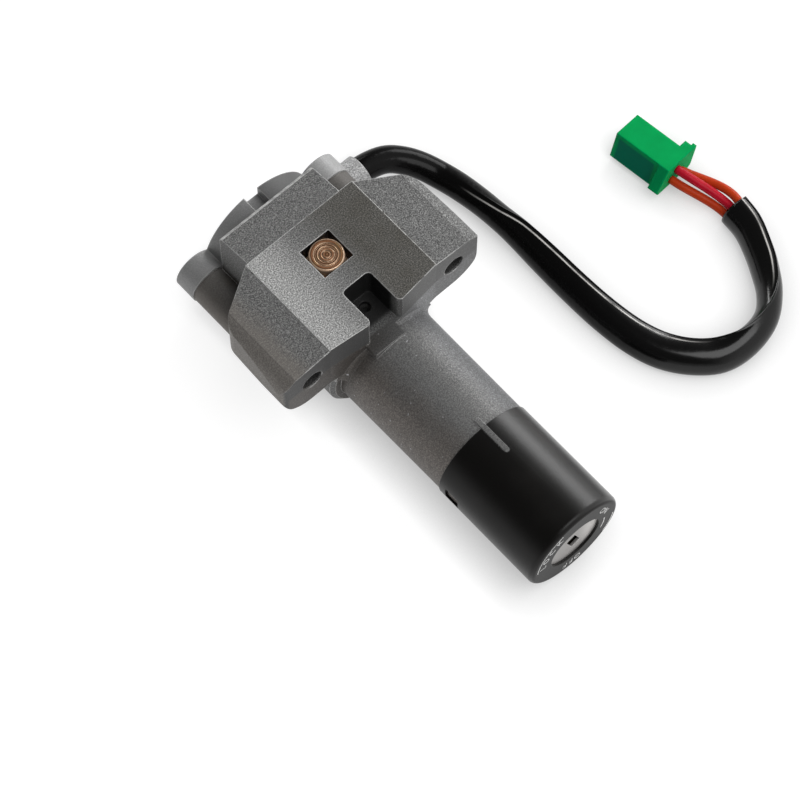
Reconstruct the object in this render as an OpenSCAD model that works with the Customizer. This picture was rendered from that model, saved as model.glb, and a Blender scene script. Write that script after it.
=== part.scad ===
// Ignition switch with steering lock: cast housing bolted to the fork yoke by two ears,
// key barrel to the front, contact chamber to the rear, and a short sleeved lead.
// Millimetres. The lock axis runs along Y, the front face of the ears is Y = 0.

/* [Mounting ears] */
// Distance between the two bolt holes
hole_spacing = 51.5; // [48:0.5:56]
// Diameter of a bolt hole
hole_d = 6.8; // [5:0.1:8]
// Height of the bolt holes above the lock axis
hole_height = 18.1; // [17:0.1:19]
// Depth of a bolt hole
hole_depth = 24; // [15:1:26]
// Half the width over both ears
ear_reach = 36; // [34:0.5:40]
// Underside of the ears above the lock axis
ear_low = 7.4; // [6:0.1:8.5]
// Radius of the lower end of an ear
ear_end_r = 10; // [8:0.5:11]
// Radius of the upper end of an ear
ear_corner_r = 6.5; // [4:0.5:8]
// Rounding of the front edge at the end of an ear
ear_edge_r = 2.6; // [1:0.1:4]

/* [Lock pad] */
// Width of the raised pad
pad_width = 38.6; // [34:0.2:42]
// Height of the pad above the lock axis
pad_height = 27.6; // [26:0.1:30]
// Depth of the pad and of the ears
block_depth = 34.4; // [32:0.1:38]
// Step from the pad down to a shoulder
pad_step = 0.5; // [0.2:0.1:1]
// Slope of the shoulders, degrees
shoulder_slope = 6; // [2:1:10]
// Sweep of the ears' rear edge, degrees
rear_sweep = 30; // [15:1:36]
// Radius of the rear corners, seen from above
plan_corner_r = 7.5; // [5:0.5:9]
// How far the middle of the front face stands forward
front_bow = 1.6; // [0.5:0.1:2.5]
// Distance from the band's rear face to the body's rear face
band_back = 0.7; // [0.3:0.1:2]
// Reach of the band to the left
band_left = 18.4; // [16:0.1:19]
// Reach of the band to the right
band_right = 14.8; // [12:0.1:17]
// Fall of the band from front to rear
band_fall = 1.8; // [0.5:0.1:3]

/* [Front pocket] */
// Width of the pocket
pocket_w = 9.8; // [8:0.2:12]
// Place of the pocket's middle to the right of the lock axis
pocket_x = -0.5; // [-1:0.1:1]
// Depth of the pocket behind the ears' face
pocket_d = 10.9; // [9.6:0.1:12]
// Height of the pocket floor above the lock axis
pocket_floor = 16.4; // [16.3:0.1:18]
// Rounding of the pocket's mouth
mouth_r = 1.8; // [0.8:0.1:2.4]
// Reach of the ledge in front of the pocket to the left
ledge_left = 7.5; // [6:0.1:10]
// Reach of the ledge in front of the pocket to the right
ledge_right = 3; // [2:0.1:6]
// Reach of the ledge along the barrel
ledge_reach = 5.5; // [3:0.5:9]
// Distance of the pin hole behind the ears' face
pin_y = 7.6; // [7:0.1:8.5]
// Diameter of the retaining pin
pin_d = 3.2; // [2:0.1:3.4]

/* [Body and barrel] */
// Radius of the body round the contact chamber
body_r = 19; // [18.5:0.1:21]
// Flat underside below the lock axis
body_flat = 16; // [16:0.1:17.5]
// Distance of the body's rear face behind the ears' face
body_length = 47; // [46.5:0.1:50]
// Distance of the body's right half behind the ears' face
body_step = 4; // [2:0.1:6]
// Chamfer of the body's front edge
body_chamfer = 1.2; // [0.6:0.1:1.8]
// Barrel radius at the ears
barrel_root_r = 15.9; // [15.6:0.1:17]
// Barrel radius at the cap
barrel_front_r = 15.6; // [15:0.1:16]
// Radius of the fillet where the barrel meets the ears
root_fillet_r = 2.4; // [1:0.1:2.4]
// Length of the bare barrel
barrel_length = 40.1; // [34:0.1:46]

/* [Front cap] */
// Outer radius of the cap
cap_r = 16; // [15.6:0.1:17]
// Length of the cap
cap_length = 36.8; // [36:0.2:44]
// Wall of the cap
cap_wall = 1.7; // [1.2:0.1:2.2]
// Thickness of the dial face
cap_face = 1.9; // [1.7:0.1:3]
// Thickness of the lip in front of the plug
cap_lip = 0.6; // [0.4:0.1:0.9]
// Rounding of the front edge
cap_edge_r = 1.6; // [0.8:0.1:1.8]
// Width of the rib that keys the cap
rib_w = 1.6; // [1.2:0.1:2.4]
// Length of the rib under the cap
rib_length = 9.8; // [8:0.1:14]
// Snap window along the barrel
snap_length = 5; // [3:0.2:6]
// Snap window round the barrel
snap_w = 5; // [3:0.2:6]
// Drop of the snap window below the lock axis
snap_drop = 0.5; // [0:0.1:3]
// Distance of the snap window from the cap's rear edge
snap_edge = 2.4; // [2:0.1:5]

/* [Lock plug] */
// Radius of the plug
plug_r = 8; // [7.5:0.1:8.6]
// Length of the plug
plug_length = 45; // [40:0.5:50]
// Thickness of the bright face disc
face_t = 0.8; // [0.5:0.1:0.9]
// Rim of the face disc beyond the plug
face_rim = 1.6; // [1.2:0.1:2]
// Width of the keyway
keyway_w = 3.2; // [2:0.1:3.4]
// Height of the keyway
keyway_h = 6.4; // [6:0.1:8]
// Lean of the keyway when the switch is on, degrees
key_lean = 20; // [0:1:30]
// Number of tumblers
tumbler_count = 6; // [4:1:6]
// Distance between tumblers
tumbler_pitch = 4.4; // [3:0.1:4.6]
// Thickness of a tumbler
tumbler_t = 1.6; // [1:0.1:2]

/* [Drive and bolt] */
// Radius of the drive shaft
shaft_r = 5; // [4.5:0.1:5.5]
// Throw of the crank pin
crank_throw = 6; // [5:0.1:6.2]
// Diameter of the crank pin
crank_pin_d = 3.8; // [3:0.1:4]
// Thickness of the crank disc
crank_t = 2.8; // [2:0.1:3]
// Distance of the bolt's axis behind the ears' face
bolt_y = 22.3; // [22:0.1:23]
// Place of the bolt's axis to the right of the lock axis
bolt_x = -0.6; // [-1:0.1:0.5]
// Side of the square bolt
bolt_side = 10.2; // [9:0.1:10.6]
// Length of the round turned tip
bolt_tip = 5; // [3:0.1:6]
// Bolt face below the pad when off
bolt_sunk = 0.4; // [0.2:0.1:1]

/* [Contacts] */
// Radius of the contact chamber
chamber_r = 13.6; // [13.5:0.1:14]
// Thickness of the contact rotor
rotor_t = 6.4; // [6:0.1:7]
// Radius of the circle of contacts
contact_circle_r = 9; // [8.4:0.1:9.4]
// Radius of the detent ball
ball_r = 1.5; // [1.2:0.1:1.6]

/* [Rear cover] */
// Thickness of the cover
cover_t = 7; // [6.6:0.1:9]
// Radius of the cover
cover_r = 18.7; // [17.5:0.1:19]
// Half the distance between the cover screws
lobe_x = 22.5; // [22:0.1:24]
// Height of the cover screws above the lock axis
lobe_z = 2; // [0:0.1:3]
// Radius of a screw lobe
lobe_r = 6.5; // [5.6:0.1:7]
// Depth of the wire space in the cover
dish_depth = 4.2; // [3.6:0.1:4.8]
// Radius of the cable spout
spout_r = 5.2; // [5:0.1:5.2]
// Reach of the spout to the right of the lock axis
spout_reach = 34.8; // [33:0.1:35.5]
// Drop of the spout below the lock axis
spout_drop = 6; // [5:0.1:7]
// Shank diameter of a cover screw
screw_d = 4; // [3:0.1:4.5]

/* [Lead] */
// Diameter of the round sleeve at the spout
sleeve_d = 8.2; // [6.5:0.1:8.4]
// Width of the flattened sleeve in its loop
sleeve_flat_w = 7.2; // [5:0.1:8]
// Height of the flattened sleeve in its loop
sleeve_flat_h = 10.4; // [8:0.1:11]
// Diameter of the wires
wire_d = 2.4; // [1.8:0.1:2.6]

/* [Connector] */
// Length of the connector body
plug_body_l = 15.6; // [13:0.1:18]
// Width of the connector body
plug_body_w = 9.8; // [9.4:0.1:12]
// Height of the connector body
plug_body_h = 10.3; // [9.4:0.1:12]
// Wall of the connector
plug_wall = 1.1; // [0.8:0.1:1.4]
// Width of the flange at the wires
flange_w = 15.3; // [13:0.1:17]
// Height of the flange's foot above the underside
flange_low = 0.8; // [0.5:0.1:2]
// Thickness of the flange
flange_t = 3.4; // [2:0.1:4]
// Thickness of the lip on the right of the flange
lip_t = 1.3; // [0.8:0.1:1.8]
// Reach of the lip beyond the flange
lip_reach = 1; // [0.5:0.1:1.5]
// Turn of the connector on the surface, degrees
plug_yaw = 7; // [0:1:15]
// Lean of the connector, degrees
plug_roll = 13; // [0:1:20]

/* [Fits] */
// Radial clearance of a running fit
running_clear = 0.05; // [0.02:0.01:0.1]
// Clearance of pieces that are only assembled
seat_clear = 0.1; // [0.05:0.01:0.2]
// Free gap between turning and fixed pieces
free_gap = 0.3; // [0.3:0.05:0.5]

/* [Hidden] */
$fn = 96;
eps = 0.5;

// stations along the lock axis, from the dial to the rear
y_dial = -barrel_length - cap_length;
y_spigot = y_dial + cap_face;
y_cap_rear = -barrel_length;
y_face = y_spigot - free_gap - face_t;
y_plug = y_face + face_t;
y_plug_rear = y_plug + plug_length;
y_bore_end = y_plug_rear + free_gap;
bolt_gap = 1.1;
y_crank_rear = bolt_y - bolt_side/2 - bolt_gap;
y_crank = y_crank_rear - crank_t;
y_chamber = y_crank - 1.4;
y_rotor = bolt_y + bolt_side/2 + bolt_gap;
y_rotor_rear = y_rotor + rotor_t;
bridge_lift = 0.9;
bridge_t = 1;
button_h = 0.3;
rivet_head_t = 0.5;
y_bridge = y_rotor_rear + bridge_lift;
y_button = y_bridge + bridge_t + button_h;
y_rivet = y_button + free_gap;
y_base = y_rivet + rivet_head_t;
y_cover = body_length;
y_rear = y_cover + cover_t;

// fits that follow from the driving sizes
spigot_r = cap_r - cap_wall - seat_clear;
plug_bore_r = plug_r + running_clear;
shaft_bore_r = shaft_r + running_clear;
face_r = plug_r + face_rim;
dial_hole_r = plug_r + face_rim/2;
guide_half = bolt_side/2 + seat_clear;
base_r = chamber_r + 0.6;
crank_pin_r = crank_pin_d/2;
shaft_square = shaft_r*1.2;
groove_r = shaft_r - 1.6;
key_depth = 34;
tumbler_w = 2*(plug_r - 3.2);
tumbler_first = 6;
spring_r = 0.72;
spring_x = tumbler_w/2 + 0.95;
spring_low = -plug_r*0.46;
lug_low = -0.5;
rotor_r = chamber_r - 1;
hub_r = 3;
hub_length = 7;
hub_seat = 0.6;
detent_y = y_rotor + rotor_t/2;
ball_circle_r = chamber_r - free_gap - ball_r;
detent_floor_r = 6.8;
contact_spring_r = 1.9;
contact_spring_floor = rotor_t/2 - ball_r - running_clear - 0.1;
turn_range = 60;
ear_hole_r = hole_d/2;
band_depth = body_length - block_depth - band_back;
pocket_corner_r = 1.5;
plan_draft = 1.5;
tuck = 0.03;
lug_front = 29;
spout_y = y_rear - spout_r;
spout_root = lobe_x + lobe_r + 0.2;
duct_wall = 1.2;
duct_half = 3.3;
lead_r = 0.9;
lead_pitch = 2.2;
lead_y = y_cover + (duct_wall + dish_depth)/2;
lead_bend_x = contact_circle_r + 2;
sleeve_r = sleeve_d/2;
screw_r = screw_d/2;
screw_head_r = 1.9*screw_r;
screw_head_t = 2.4;
screw_depth = 9;

// the bolt's slot leaves room for the difference between a steady slide and the turning pin
slot_clear = 0.07*crank_throw + free_gap;
slot_half = crank_pin_r + slot_clear;
yoke_half = slot_half + 1.5;
yoke_reach = crank_throw + crank_pin_r + free_gap + 1.2;

// the row's frame: on the resting surface, under the middle of the switch
lift = max(body_flat, cap_r);
shift_y = -(y_dial + y_rear)/2;

// lead route as [x, y, underside over the surface], out of the spout, round the loop to the connector
spout_under = lift - spout_drop - sleeve_r;
rest = 0.1;
route = [[30, spout_y, spout_under], [36, spout_y, spout_under], [42.5, 47.5, 4.7], [47, 44.5, 3.1],
    [50.5, 40, 1.5], [53, 34.5, rest], [54.5, 28, rest], [55.5, 20.5, rest], [56, 13, rest],
    [56.5, 5, rest], [56.5, -6, rest], [56.5, -18, rest], [57, -29.5, rest], [58.5, -40, rest],
    [61.5, -48.5, rest], [66.5, -55.5, rest], [73, -60.5, rest], [81, -62.5, rest], [89.5, -61, rest],
    [96, -56, rest], [100.7, -49.3, rest], [104.1, -42.8, rest], [106.6, -36.4, rest], [107.5, -30, rest]];
// the sleeve is pressed flat between these two points of its route
fold_from = 5;
fold_to = 9;
// lean of the flat sleeve towards the inside of the loop, as [point of the route, degrees]
leans = [[11, 0], [16, 50], [20, -15], [23, -45]];
plug_at = [99.2, 8, plug_body_w/2*sin(plug_roll)];
// each wire as [slot, level] in the connector, place in the sleeve's mouth, and bow to the side
wire_rows = [[-1.6, 3.8, -2.75, 0], [0, 7.2, 0, 0], [2.6, 4.4, 2.75, 1.5]];
wire_gap = 0.05;
wire_stub = 1.2;
wire_pull = 5;
socket_depth = 11;
blade_from = 7.2;

module place() translate([0, shift_y, lift]) children();
module on_surface() translate([0, shift_y, 0]) children();

// a cylinder along the lock axis, from one station to another
module turned(y0, y1, r0, r1) translate([0, y0, 0]) rotate([-90, 0, 0])
    cylinder(h = y1 - y0, r1 = r0, r2 = is_undef(r1) ? r0 : r1);

// an outline in X and Z, drawn out along the lock axis
module drawn(y0, y1) translate([0, y1, 0]) rotate([90, 0, 0]) linear_extrude(y1 - y0) children();

module block_between(lo, hi) translate(lo) cube(hi - lo);

module both_sides() {
    children();
    mirror([1, 0, 0]) children();
}

// tubes: each ring is a centre, two directions across it and two half sizes
function unit(v) = v/norm(v);
function tangent(p, i) = unit(p[min(i + 1, len(p) - 1)] - p[max(i - 1, 0)]);
function across(t) = unit(cross(t, [0, 0, 1]));
function ring(c, s, u, w, h, n) = [for (j = [0:n - 1]) c + s*w*cos(360*j/n) + u*h*sin(360*j/n)];
function tube_sides(rings, n) = [for (i = [0:rings - 2], j = [0:n - 1], k = [0, 1])
    k == 0 ? [i*n + j, i*n + (j + 1)%n, (i + 1)*n + (j + 1)%n]
           : [i*n + j, (i + 1)*n + (j + 1)%n, (i + 1)*n + j]];

module tube(rings, n) polyhedron(
    points = [for (r = rings) each r],
    faces = concat([[for (j = [n - 1:-1:0]) j]], tube_sides(len(rings), n),
        [[for (j = [0:n - 1]) (len(rings) - 1)*n + j]]));

// a tube whose section has two half sizes at each point and leans to the left of the way by an angle
module cord(path, w, h, lean, n) tube([for (i = [0:len(path) - 1])
    let (t = tangent(path, i), s = across(t), u = cross(s, t), a = lean[i])
    ring(path[i], s*cos(a) + u*sin(a), u*cos(a) - s*sin(a), w[i], h[i], n)], n);

module wire(path, r) cord(path, [for (p = path) r], [for (p = path) r], [for (p = path) 0], 8);

// a coil spring along Z from 0 to its length
module coil(length, r, wire_r, turns, per_turn, n) tube([for (i = [0:turns*per_turn])
    let (a = 360*i/per_turn, out = [cos(a), sin(a), 0], rise = (length - 2*wire_r)/turns,
        t = unit([-sin(a)*2*PI*(r - wire_r), cos(a)*2*PI*(r - wire_r), rise]))
    ring(out*(r - wire_r) + [0, 0, wire_r + rise*i/per_turn], out, cross(out, t), wire_r, wire_r, n)], n);

// HOUSING
function shoulder_z(x) = pad_height - pad_step - (x - pad_width/2)*tan(shoulder_slope);

module ear_outline() {
    corner_x = ear_reach - ear_corner_r;
    corner_z = shoulder_z(corner_x) - ear_corner_r/cos(shoulder_slope);
    end_x = ear_reach - ear_end_r;
    intersection() {
        union() {
            translate([end_x, ear_low + ear_end_r]) circle(r = ear_end_r);
            translate([corner_x, corner_z]) circle(r = ear_corner_r);
            polygon([[0, ear_low], [end_x, ear_low], [corner_x, corner_z],
                [corner_x, shoulder_z(corner_x)], [pad_width/2, shoulder_z(pad_width/2)],
                [0, shoulder_z(pad_width/2)]]);
        }
        polygon([[-1, -1], [2*ear_reach, -1], [2*ear_reach, shoulder_z(2*ear_reach)],
            [pad_width/2, shoulder_z(pad_width/2)], [-1, shoulder_z(pad_width/2)]]);
    }
}

module block_outline() {
    both_sides() ear_outline();
    translate([-pad_width/2, hole_height]) square([pad_width, pad_height - hole_height]);
}

module half_plan() {
    corner_x = ear_reach - plan_draft - plan_corner_r;
    swept = (corner_x - pad_width/2)*tan(rear_sweep) + plan_corner_r/cos(rear_sweep);
    corner = [corner_x, block_depth - swept];
    edge = [ear_reach - ear_edge_r, ear_edge_r];
    translate(corner) circle(r = plan_corner_r);
    translate(edge) circle(r = ear_edge_r);
    polygon([[0, -front_bow], [pocket_w/2, -front_bow], [pad_width/2, 0], [edge[0], 0],
        edge, [ear_reach, edge[1]], [corner[0] + plan_corner_r, corner[1]],
        corner, corner + (plan_corner_r - tuck)*[sin(rear_sweep), cos(rear_sweep)],
        [pad_width/2, block_depth], [0, block_depth]]);
}

module ear_block() intersection() {
    drawn(-front_bow - eps, block_depth) block_outline();
    linear_extrude(pad_height + eps) both_sides() half_plan();
}

module band() {
    top = pad_height - 0.3;
    translate([-band_left, 0, 0]) rotate([90, 0, 90]) linear_extrude(band_left + band_right)
        polygon([[block_depth - 2, 0], [block_depth - 2, top], [block_depth, top],
            [block_depth + band_depth - 1, top - band_fall], [block_depth + band_depth, top - band_fall - 1],
            [block_depth + band_depth, 0]]);
}

module lobe_outline(r, web) both_sides() {
    translate([lobe_x, lobe_z]) circle(r = r);
    translate([0, lobe_z - web]) square([lobe_x, 2*web]);
}

module body() difference() {
    union() {
        turned(body_step, body_length, body_r);
        intersection() {
            union() {
                turned(0, body_chamfer, body_r - body_chamfer, body_r);
                turned(body_chamfer, body_step + eps, body_r);
            }
            block_between([-body_r, 0, -body_r], [0, body_step + eps, ear_low + eps]);
        }
        drawn(lug_front, body_length) lobe_outline(lobe_r - 0.3, lobe_r - 2);
        intersection() {
            root_fillet();
            block_between([-body_r, -body_r, ear_low - root_fillet_r], [body_r, body_r, body_r]);
        }
    }
    block_between([-body_r, -eps, -body_r - 1], [body_r, body_length + eps, -body_flat]);
}

module root_fillet() rotate([90, 0, 0]) rotate_extrude() difference() {
    translate([barrel_root_r - 1, -eps]) square([root_fillet_r + 1, root_fillet_r + eps]);
    translate([barrel_root_r + root_fillet_r, root_fillet_r]) circle(r = root_fillet_r);
}

module barrel() {
    turned(y_cap_rear, body_step + eps, barrel_front_r, barrel_root_r);
    turned(y_spigot, y_cap_rear + eps, spigot_r);
    rib_tip = y_cap_rear - rib_length + rib_w/2;
    block_between([-rib_w/2, rib_tip, spigot_r - 2], [rib_w/2, y_cap_rear + 3, cap_r - 0.1]);
    translate([0, rib_tip, spigot_r - 2]) cylinder(h = cap_r - spigot_r + 1.9, r = rib_w/2);
    snap_tab(seat_clear, cap_wall/2);
}

// the snap sits on the left of the barrel, near the cap's rear edge
module snap_tab(gap, rise) block_between(
    [-spigot_r - rise, y_cap_rear - snap_edge - snap_length + gap, -snap_w/2 - snap_drop + gap],
    [-spigot_r + 2, y_cap_rear - snap_edge - gap, snap_w/2 - snap_drop - gap]);

module pocket() {
    half = pocket_w/2;
    r = pocket_corner_r;
    front = -ledge_reach - 1;
    mouth = [half + mouth_r, mouth_r - front_bow];
    translate([pocket_x, 0, pocket_floor]) linear_extrude(pad_height) both_sides() {
        translate([half - r, pocket_d - r]) circle(r = r);
        polygon([[0, front], [half, front], [half, pocket_d - r], [half - r, pocket_d - r],
            [half - r, pocket_d], [0, pocket_d]]);
        difference() {
            translate([half - eps, front]) square([mouth[0] - half + eps, mouth[1] - front]);
            translate(mouth) circle(r = mouth_r);
        }
    }
}

module detent_notch(a) translate([0, detent_y, 0]) rotate([0, a, 0])
    translate([0, 0, chamber_r - 0.2]) sphere(r = ball_r + 0.3);

module housing() color("#7f8080") place() difference() {
    union() {
        ear_block();
        band();
        body();
        barrel();
        block_between([-ledge_left, -ledge_reach, ear_low], [ledge_right, 1, pocket_floor]);
    }
    pocket();
    both_sides() translate([hole_spacing/2, 0, hole_height]) turned(-eps, hole_depth, ear_hole_r);
    both_sides() translate([lobe_x, 0, lobe_z]) turned(body_length - screw_depth - 1, body_length + eps,
        screw_r + running_clear);
    translate([0, pin_y, 0]) cylinder(h = pad_height, r = pin_d/2);
    translate([bolt_x, bolt_y, 0]) block_between([-guide_half, -guide_half, 0],
        [guide_half, guide_half, pad_height + eps]);
    turned(y_spigot - eps, y_bore_end, plug_bore_r);
    tumbler_grooves();
    turned(y_bore_end - eps, y_chamber + eps, shaft_bore_r);
    turned(y_chamber, y_base + eps, chamber_r);
    turned(y_base, body_length + eps, base_r + seat_clear);
    for (a = [-turn_range, 0, turn_range]) detent_notch(a);
}

// the grooves over and under the plug that the tumblers drop into
module tumbler_grooves() leaning() block_between(
    [-tumbler_w/2 - seat_clear, y_plug + tumbler_first - 2, -plug_r - 2],
    [tumbler_w/2 + seat_clear, y_plug + tumbler_first + tumbler_count*tumbler_pitch, plug_r + 2]);

// FRONT CAP
module cap_profile() {
    difference() {
        union() {
            square([cap_r - cap_edge_r, cap_length]);
            square([cap_r, cap_length - cap_edge_r]);
            translate([cap_r - cap_edge_r, cap_length - cap_edge_r]) circle(r = cap_edge_r);
        }
        translate([-1, -1]) square([cap_r - cap_wall + 1, cap_length - cap_face + 1]);
        translate([-1, 0]) square([face_r + free_gap + 1, cap_length - cap_lip]);
        translate([-1, 0]) square([dial_hole_r + 1, cap_length + 1]);
    }
}

module front_cap() color("#1c1c1d") place() difference() {
    translate([0, y_cap_rear, 0]) rotate([90, 0, 0]) rotate_extrude() cap_profile();
    slot_half_w = rib_w/2 + seat_clear;
    slot_tip = y_cap_rear - rib_length + rib_w/2;
    block_between([-slot_half_w, slot_tip, 0], [slot_half_w, y_cap_rear + eps, cap_r + 1]);
    translate([0, slot_tip, 0]) cylinder(h = cap_r + 1, r = slot_half_w);
    snap_tab(0, cap_wall + 1);
}

// REAR COVER
module cover_outline() {
    circle(r = cover_r);
    lobe_outline(lobe_r, lobe_r - 2);
}

module spout(r, x0, x1) translate([x0, spout_y, -spout_drop]) rotate([0, 90, 0])
    cylinder(h = x1 - x0, r = r);

// the tunnel from the wire space to the spout keeps a front wall of its own
module wire_duct() block_between([0, y_cover + duct_wall, -spout_drop - duct_half],
    [spout_root + 1, y_cover + dish_depth, -spout_drop + duct_half]);

module rear_cover() color("#8b8c8c") place() difference() {
    union() {
        drawn(y_cover, y_rear) cover_outline();
        difference() {
            spout(spout_r, cover_r/2, spout_reach);
            block_between([0, 0, -2*body_r], [spout_root, y_cover, body_r]);
        }
    }
    turned(y_cover - eps, y_cover + dish_depth, base_r - 1.2);
    wire_duct();
    spout(sleeve_r + running_clear, spout_root + 0.4, spout_reach + eps);
    block_between([-2*body_r, y_cover - eps, -2*body_r], [2*body_r, y_rear + eps, -body_flat]);
    block_between([-3.3, y_cover - eps, base_r + 1], [1.6, y_rear + eps, 2*body_r]);
    both_sides() translate([lobe_x, 0, lobe_z]) {
        turned(y_cover - eps, y_rear, screw_r + 0.2);
        turned(y_rear - screw_head_t - 0.4, y_rear + eps, screw_head_r + 0.2);
    }
}

module cover_screws() color("#b9bbbd") place() both_sides() translate([lobe_x, 0, lobe_z]) {
    seat = y_rear - screw_head_t - 0.4;
    difference() {
        union() {
            turned(y_cover - screw_depth, seat + eps, screw_r);
            turned(seat, seat + screw_head_t, screw_head_r, screw_head_r*0.9);
        }
        for (a = [0, 90]) rotate([0, a, 0])
            block_between([-2.2, seat + 1, -0.5], [2.2, seat + screw_head_t + eps, 0.5]);
    }
}

module retaining_pin() color("#a9abad") place() translate([0, pin_y, groove_r + free_gap])
    cylinder(h = shaft_r + 3.5, r = pin_d/2 - running_clear/2);

// CONTACTS
function contact_angles() = [30, 150, 210];
module at_contacts(angles) for (a = angles)
    translate([contact_circle_r*cos(a), 0, contact_circle_r*sin(a)]) children();

module contact_base() color("#5b3a26") place() difference() {
    turned(y_base, y_cover, base_r);
    turned(y_base - eps, y_base + hub_length - 2, hub_r + running_clear);
    at_contacts(contact_angles()) turned(y_base - eps, y_cover + eps, 1.5);
}

module fixed_contacts() color("#b87333") place() at_contacts(contact_angles()) {
    turned(y_rivet, y_base, 2.2);
    turned(y_base, y_cover, 1.45);
    turned(y_cover, lead_y - lead_r, 2.2);
}

module contact_rotor() color("#e8e2d0") place() difference() {
    union() {
        turned(y_rotor, y_rotor_rear, rotor_r);
        turned(y_rotor_rear - eps, y_base + hub_length - 2 - hub_seat, hub_r);
    }
    translate([crank_throw, 0, 0]) turned(y_rotor - eps, y_rotor + 3.5, crank_pin_r + running_clear);
    at_contacts([90, 270]) turned(y_rotor_rear - contact_spring_floor, y_rotor_rear + eps,
        contact_spring_r + 0.2);
    translate([0, detent_y, detent_floor_r]) cylinder(h = rotor_r, r = ball_r + running_clear);
}

module bridge_contact() color("#c8803f") place() {
    difference() {
        turned(y_bridge, y_bridge + bridge_t, contact_circle_r + 2);
        turned(y_bridge - eps, y_bridge + bridge_t + eps, hub_r + 0.8);
        both_sides() block_between([hub_r + 2, y_bridge - eps, -2*rotor_r],
            [2*rotor_r, y_bridge + 2, 2*rotor_r]);
    }
    at_contacts([90, 270]) turned(y_bridge + bridge_t, y_button, 1.3);
}

module contact_springs() color("#c9ccd0") place() at_contacts([90, 270])
    translate([0, y_rotor_rear - contact_spring_floor, 0]) rotate([-90, 0, 0])
        coil(contact_spring_floor + bridge_lift, contact_spring_r, 0.25, 3, 12, 6);

module detent_ball() color("#d5d8da") place() translate([0, detent_y, ball_circle_r])
    sphere(r = ball_r);

module detent_spring() color("#c9ccd0") place() translate([0, detent_y, detent_floor_r])
    coil(ball_circle_r - ball_r - detent_floor_r, ball_r - 0.2, 0.2, 4, 10, 6);

// LOCK PLUG
function tumbler_y(i) = y_plug + tumbler_first + i*tumbler_pitch;

module keyway(y0, y1, gap) block_between([-keyway_w/2 - gap, y0, -keyway_h/2 - gap],
    [keyway_w/2 + gap, y1, keyway_h/2 + gap]);

// the plug's own upright leans when the switch is on
module leaning() rotate([0, -key_lean, 0]) children();

module lock_plug() color("#c6b27a") place() leaning() difference() {
    turned(y_plug, y_plug_rear, plug_r);
    keyway(y_plug - eps, y_plug + key_depth, 0);
    for (i = [0:tumbler_count - 1]) translate([0, tumbler_y(i), 0]) {
        block_between([-tumbler_w/2 - seat_clear, 0, -plug_r - 1],
            [tumbler_w/2 + seat_clear, tumbler_t + seat_clear, plug_r + 1]);
        block_between([0, 0, spring_low], [spring_x + 0.95, tumbler_t + seat_clear, lug_low + 1.6]);
    }
    block_between([-1.5, y_plug_rear - 4.2, -plug_r - 1], [1.5, y_plug_rear + eps, plug_r + 1]);
}

module plug_face() color("#d7d9db") place() leaning() difference() {
    turned(y_face, y_plug, face_r);
    keyway(y_face - eps, y_plug + eps, 0);
}

module tumblers() color("#c9a24b") place() leaning() for (i = [0:tumbler_count - 1])
    translate([0, tumbler_y(i) + seat_clear/2, 0]) difference() {
        union() {
            intersection() {
                turned(0, tumbler_t, plug_r - 0.15);
                block_between([-tumbler_w/2, -1, -plug_r], [tumbler_w/2, tumbler_t + 1, plug_r]);
            }
            block_between([0, 0, lug_low], [spring_x + 0.75, tumbler_t, lug_low + 1.1]);
        }
        translate([0, 0, 0.35*(i%3 - 1)]) keyway(-1, tumbler_t + 1, 0.4);
    }

module tumbler_springs() color("#c9ccd0") place() leaning() for (i = [0:tumbler_count - 1])
    translate([spring_x, tumbler_y(i) + (tumbler_t + seat_clear)/2, spring_low])
        coil(lug_low - spring_low, spring_r, 0.14, 4, 8, 5);

// DRIVE AND BOLT
module drive_shaft() color("#aeb1b4") place() difference() {
    union() {
        turned(y_bore_end - 0.1, y_crank, shaft_r);
        leaning() block_between([-1.45, y_plug_rear - 4.1, -shaft_r + 0.4],
            [1.45, y_bore_end + eps, shaft_r - 0.4]);
        block_between([-shaft_square/2, y_crank - eps, -shaft_square/2],
            [shaft_square/2, y_crank_rear, shaft_square/2]);
    }
    translate([0, pin_y, 0]) difference() {
        turned(-pin_d/2 - free_gap, pin_d/2 + free_gap, shaft_r + 1);
        turned(-pin_d, pin_d, groove_r);
    }
}

module crank_disc() color("#9fa2a5") place() difference() {
    turned(y_crank, y_crank_rear, crank_throw + crank_pin_r + 1.5);
    half = shaft_square/2 + running_clear/2;
    block_between([-half, y_crank - eps, -half], [half, y_crank_rear + eps, half]);
    translate([crank_throw, 0, 0]) turned(y_crank - eps, y_crank_rear + eps, crank_pin_r + running_clear/2);
}

module crank_pin() color("#d0d3d6") place() translate([crank_throw, 0, 0])
    turned(y_crank, y_rotor + 3.2, crank_pin_r);

module yoke_outline() {
    r = 1.5;
    left = bolt_x - bolt_side/2;
    translate([left, -yoke_half]) square([yoke_reach - r - left, 2*yoke_half]);
    translate([0, -yoke_half + r]) square([yoke_reach, 2*yoke_half - 2*r]);
    for (s = [-1, 1]) translate([yoke_reach - r, s*(yoke_half - r)]) circle(r = r);
}

module slot_outline() {
    from = crank_throw*cos(turn_range);
    reach = crank_throw + free_gap - from;
    translate([from, -slot_half]) square([reach, 2*slot_half]);
    for (x = [from, from + reach]) translate([x, 0]) circle(r = slot_half);
}

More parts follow.
